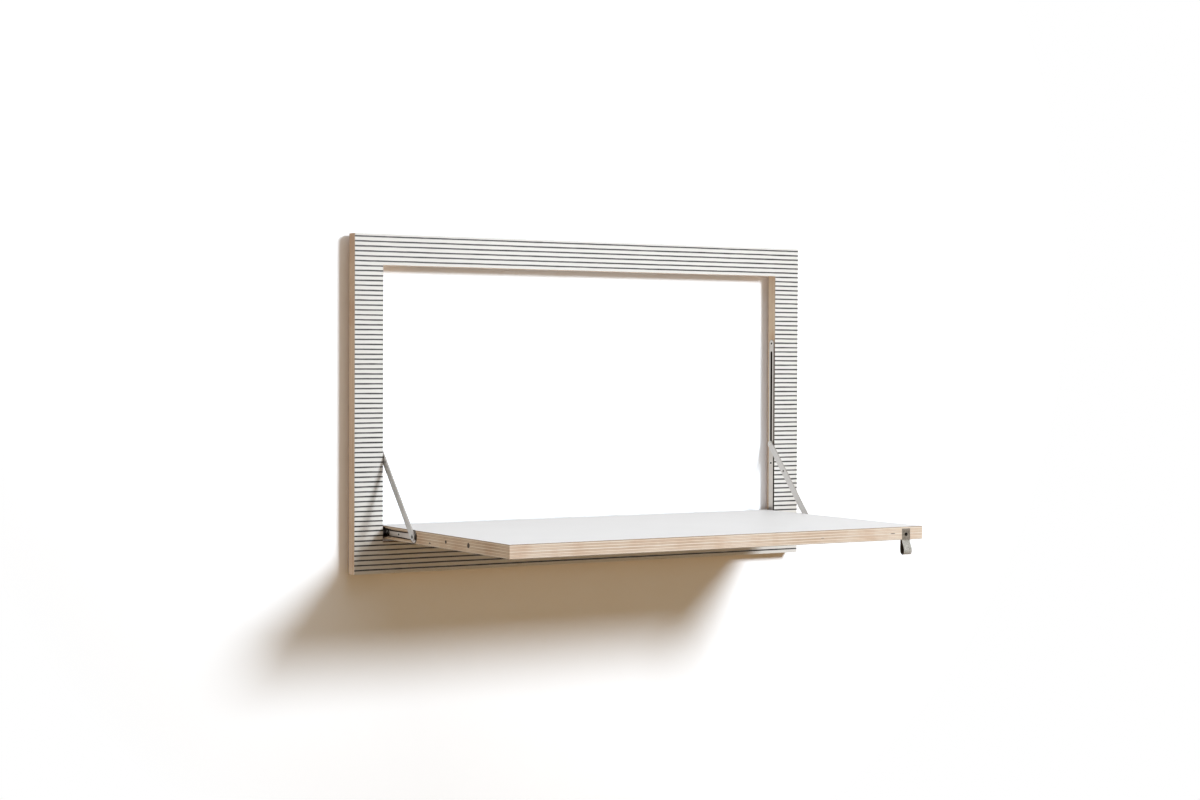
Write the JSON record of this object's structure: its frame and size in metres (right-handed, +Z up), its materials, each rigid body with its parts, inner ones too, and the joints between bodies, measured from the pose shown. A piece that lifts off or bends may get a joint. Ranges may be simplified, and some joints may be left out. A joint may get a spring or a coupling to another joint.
{
  "type": "wall-mounted drop-front desk",
  "caption": "Shallow wall-hung plywood frame with a drop-front flap that folds down on slotted side stays to make a small desk, with a felt pull loop.",
  "frame": {"origin": "on the wall plane, at the middle of the wall cleat's back face, which is level with its screw holes", "axes": "+Z up, +Y into the wall, +X to the right for someone who faces the desk"},
  "size_m": [0.8, 0.4135, 0.5],
  "materials": {
    "birch_plywood": "sanded and oiled plywood edge",
    "striped_laminate": "matt white high-pressure laminate with fine dark horizontal lines",
    "backing_laminate": "plain brown backing sheet of high-pressure laminate",
    "desktop_laminate": "matt white high-pressure laminate",
    "rail_steel": "satin stainless strip",
    "strut_steel": "satin stainless strip",
    "pin_steel": "turned steel",
    "zinc_plate": "bright zinc plate",
    "blackened_steel": "blackened steel",
    "nickel_magnet": "nickel-plated magnet",
    "black_nylon": "turned black nylon",
    "grey_felt": "pressed wool felt, mottled light grey outside and dark inside",
    "extruded_aluminium": "mill-finish aluminium",
    "black_rubber": "matt rubber"
  },
  "bodies": {
    "frame": {"frame_core": "birch_plywood", "frame_face_laminate": "striped_laminate", "frame_back_laminate": "backing_laminate", "frame_rail_left": "rail_steel", "frame_rail_right": "rail_steel", "hinge_pin_left": "pin_steel", "hinge_pin_right": "pin_steel", "hinge_bush_left": "pin_steel", "hinge_bush_right": "pin_steel", "frame_rail_screws": "zinc_plate", "wall_cleat": "extruded_aluminium", "frame_cleat": "extruded_aluminium", "cleat_screws": "zinc_plate", "wall_buffers": "black_rubber", "buffer_screws": "zinc_plate"},
    "flap": {"flap_core": "birch_plywood", "desktop_laminate": "desktop_laminate", "flap_face_laminate": "striped_laminate", "flap_rail_left": "rail_steel", "flap_rail_right": "rail_steel", "elbow_rivet_left": "pin_steel", "elbow_rivet_right": "pin_steel", "elbow_washer_left": "zinc_plate", "elbow_washer_right": "zinc_plate", "flap_rail_screws": "zinc_plate", "latch_studs": "blackened_steel", "catch_magnets": "nickel_magnet", "pull_strap": "grey_felt", "strap_screw": "blackened_steel"},
    "strut_left": {"strut_left": "strut_steel", "strut_rivet_left": "zinc_plate"},
    "strut_right": {"strut_right": "strut_steel", "strut_rivet_right": "zinc_plate"},
    "slider_left": {"slider_left": "black_nylon", "slider_pin_left": "pin_steel"},
    "slider_right": {"slider_right": "black_nylon", "slider_pin_right": "pin_steel"}
  },
  "joints": [
    {"name": "flap_hinge", "type": "hinge", "parent": "frame", "child": "flap", "pos_m": [0, -0.0182, -0.4052], "axis": [-1, 0, 0], "range_deg": [0, 90]},
    {"name": "strut_pivot_left", "type": "hinge", "parent": "flap", "child": "strut_left", "pos_m": [-0.3526, -0.1232, -0.4052], "axis": [-1, 0, 0], "range_deg": [-131.67, 0]},
    {"name": "strut_pivot_right", "type": "hinge", "parent": "flap", "child": "strut_right", "pos_m": [0.3526, -0.1232, -0.4052], "axis": [-1, 0, 0], "range_deg": [-131.67, 0]},
    {"name": "slider_left_travel", "type": "slide", "parent": "frame", "child": "slider_left", "axis": [0, 0, 1], "range_m": [0, 0.14495]},
    {"name": "slider_right_travel", "type": "slide", "parent": "frame", "child": "slider_right", "axis": [0, 0, 1], "range_m": [0, 0.14495]}
  ],
  "couplings": [
    {"joint": "strut_pivot_left", "follows": "flap_hinge", "ratio": -1.4628},
    {"joint": "strut_pivot_right", "follows": "flap_hinge", "ratio": -1.4628},
    {"joint": "slider_left_travel", "follows": "flap_hinge", "m_per_rad": 0.092269},
    {"joint": "slider_right_travel", "follows": "flap_hinge", "m_per_rad": 0.092269}
  ]
}
